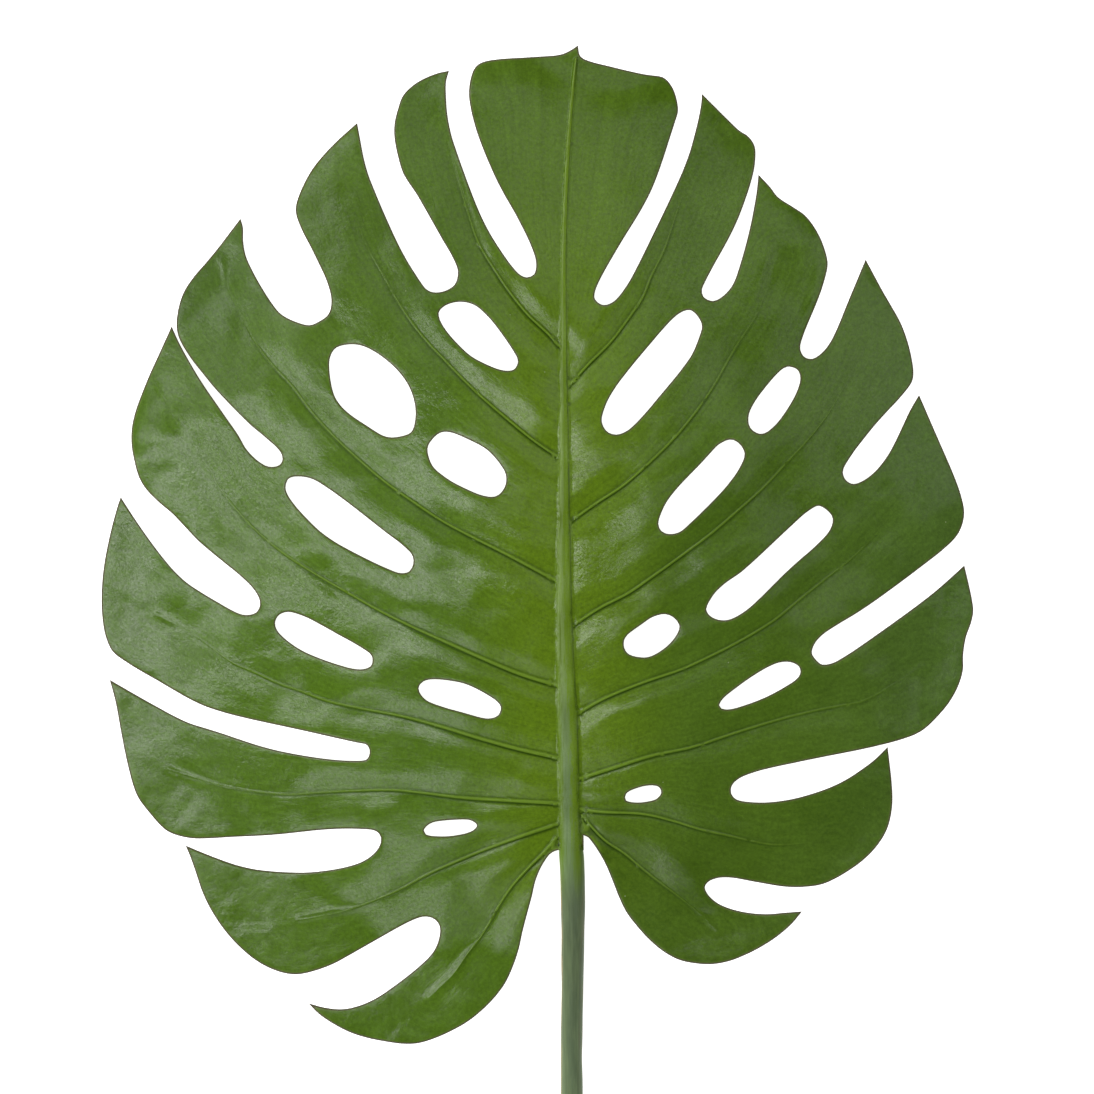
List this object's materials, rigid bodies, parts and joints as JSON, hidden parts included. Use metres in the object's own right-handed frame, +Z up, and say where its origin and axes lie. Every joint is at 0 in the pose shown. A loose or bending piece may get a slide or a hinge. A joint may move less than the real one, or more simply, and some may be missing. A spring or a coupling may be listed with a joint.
{
  "type": "monstera leaf",
  "caption": "Large cut monstera leaf with deep lobes, holes and its stalk, lying upper side up; foliage for plants, arrangements and displays.",
  "frame": {"origin": "middle of the foot of the box round blade and stalk, on the surface that the leaf lies on", "axes": "+Y runs from the stalk's cut end to the tip of the blade, +Z points up out of the blade's upper side, and +X is to the right seen from above"},
  "size_m": [0.4366, 0.6528, 0.0269],
  "materials": {
    "leaf_green": "satin",
    "stalk_green": "satin"
  },
  "bodies": {
    "root": {"leaf_blade": "leaf_green", "leaf_stalk": "stalk_green"}
  },
  "joints": []
}
